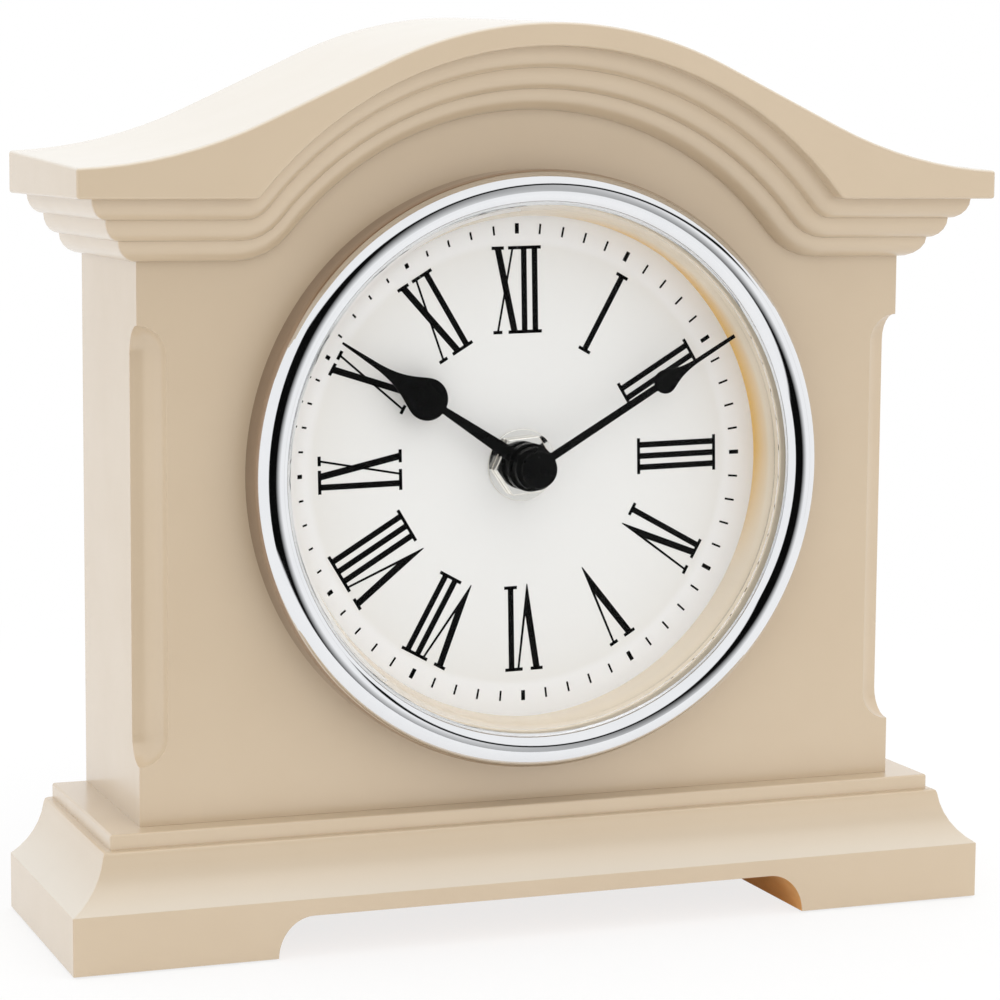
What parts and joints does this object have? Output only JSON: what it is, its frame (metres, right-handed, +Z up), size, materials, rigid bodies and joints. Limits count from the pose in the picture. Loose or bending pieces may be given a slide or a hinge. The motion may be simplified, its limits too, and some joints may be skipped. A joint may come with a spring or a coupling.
{
  "type": "table clock",
  "caption": "Cream table clock with an arched roof, stepped cornice and moulded base; chrome bezel, white Roman dial and spade hands driven by a geared battery movement.",
  "frame": {"origin": "on the table, under the middle of the clock's outline in plan", "axes": "+X to the right as the dial is read, +Y from the dial to the back, +Z up; the dial faces -Y"},
  "size_m": [0.1962, 0.0614, 0.1863],
  "materials": {
    "cream_paint": "satin cream paint on fibreboard",
    "hardboard": "dark hardboard",
    "steel": "plain steel",
    "rubber": "matt rubber",
    "chrome": "polished plate",
    "clear_glass": "clear, flat, polished",
    "well_paint": "satin cream",
    "dial_print": "matt white with black print",
    "black_enamel": "satin black",
    "nickel": "bright nickel plate",
    "brass": "turned brass",
    "black_plastic": "moulded black",
    "white_plastic": "moulded white",
    "ferrite": "sintered dark grey",
    "copper": "enamelled copper winding",
    "green_laminate": "solder-mask green",
    "battery_jacket": "plain printed jacket"
  },
  "bodies": {
    "case": {"base_slab": "cream_paint", "base_cove": "cream_paint", "plinth_cap": "cream_paint", "front_board": "cream_paint", "side_board_left": "cream_paint", "side_board_right": "cream_paint", "cornice_lower": "cream_paint", "cornice_middle": "cream_paint", "cornice_upper": "cream_paint", "roof_cap": "cream_paint", "back_panel": "hardboard", "back_screw_1": "steel", "back_screw_2": "steel", "back_screw_3": "steel", "back_screw_4": "steel", "stator": "steel", "foot_pad_1": "rubber", "foot_pad_2": "rubber", "foot_pad_3": "rubber", "foot_pad_4": "rubber", "rubber_washer": "rubber", "bezel_ring": "chrome", "glass": "clear_glass", "dial_well": "well_paint", "dial_plate": "dial_print", "hex_nut": "nickel", "dial_washer": "nickel", "quartz_crystal": "nickel", "contact_positive": "nickel", "contact_negative": "nickel", "threaded_bush": "brass", "movement_housing": "black_plastic", "movement_cover": "black_plastic", "driver_chip": "black_plastic", "train_bridge": "white_plastic", "antenna_rod": "ferrite", "drive_coil": "copper", "antenna_coil": "copper", "circuit_board": "green_laminate"},
    "minute_train": {"centre_wheel": "brass", "minute_hand": "black_enamel", "hub_cap": "black_enamel"},
    "hour_train": {"hour_wheel": "white_plastic", "hour_hand": "black_enamel"},
    "motion_train": {"motion_wheel": "white_plastic"},
    "third_train": {"third_wheel": "white_plastic"},
    "rotor_train": {"rotor": "ferrite"},
    "battery_cell": {"battery": "battery_jacket"},
    "reset_key": {"reset_button": "white_plastic"},
    "set_key": {"set_button": "white_plastic"},
    "receive_key": {"receive_button": "white_plastic"}
  },
  "joints": [
    {"name": "minute_turn", "type": "hinge", "parent": "case", "child": "minute_train", "pos_m": [0, -0.0079, 0.0945], "axis": [0, 1, 0], "continuous": true},
    {"name": "hour_turn", "type": "hinge", "parent": "case", "child": "hour_train", "pos_m": [0, -0.0079, 0.0945], "axis": [0, 1, 0], "continuous": true},
    {"name": "motion_turn", "type": "hinge", "parent": "case", "child": "motion_train", "pos_m": [-0.01039, -0.0079, 0.0885], "axis": [0, 1, 0], "continuous": true},
    {"name": "third_turn", "type": "hinge", "parent": "case", "child": "third_train", "pos_m": [0.007, -0.0079, 0.10662], "axis": [0, 1, 0], "continuous": true},
    {"name": "rotor_turn", "type": "hinge", "parent": "case", "child": "rotor_train", "pos_m": [0.01882, -0.0079, 0.10454], "axis": [0, 1, 0], "continuous": true},
    {"name": "battery_out", "type": "slide", "parent": "case", "child": "battery_cell", "axis": [0, 1, 0], "range_m": [0, 0.016]},
    {"name": "reset_press", "type": "slide", "parent": "case", "child": "reset_key", "axis": [0, -1, 0], "range_m": [0, 0.0008], "stiffness_N_per_m": 400, "springref_m": -0.001},
    {"name": "set_press", "type": "slide", "parent": "case", "child": "set_key", "axis": [0, -1, 0], "range_m": [0, 0.0008], "stiffness_N_per_m": 400, "springref_m": -0.001},
    {"name": "receive_press", "type": "slide", "parent": "case", "child": "receive_key", "axis": [0, -1, 0], "range_m": [0, 0.0008], "stiffness_N_per_m": 400, "springref_m": -0.001}
  ],
  "couplings": [
    {"joint": "motion_turn", "follows": "minute_turn", "ratio": -0.33333},
    {"joint": "hour_turn", "follows": "minute_turn", "ratio": 0.083333},
    {"joint": "third_turn", "follows": "minute_turn", "ratio": -6},
    {"joint": "rotor_turn", "follows": "minute_turn", "ratio": 30}
  ]
}
